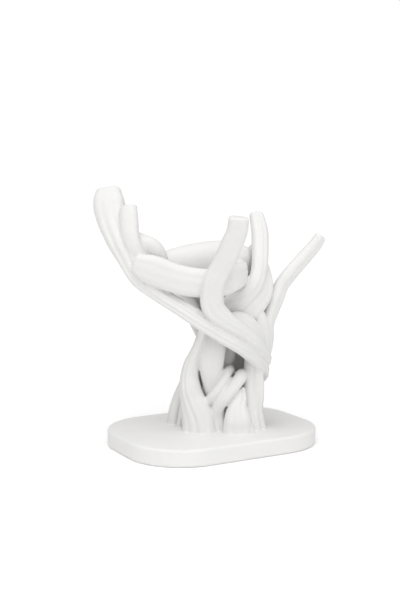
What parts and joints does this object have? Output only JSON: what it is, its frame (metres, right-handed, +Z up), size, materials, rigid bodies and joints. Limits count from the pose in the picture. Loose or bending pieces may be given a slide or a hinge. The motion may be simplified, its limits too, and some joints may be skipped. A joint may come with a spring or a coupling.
{
  "type": "game controller stand",
  "caption": "One-piece stand for a game controller: an open hand of twisted vines on a flat oval base plate.",
  "frame": {"origin": "centre of the base plate's underside", "axes": "+X along the base plate's length, +Y across it to the back, +Z up"},
  "size_m": [0.1558, 0.1115, 0.1836],
  "materials": {
    "stand": "smooth matte white moulded plastic with a soft sheen"
  },
  "bodies": {
    "root": {"stand": "stand"}
  },
  "joints": []
}
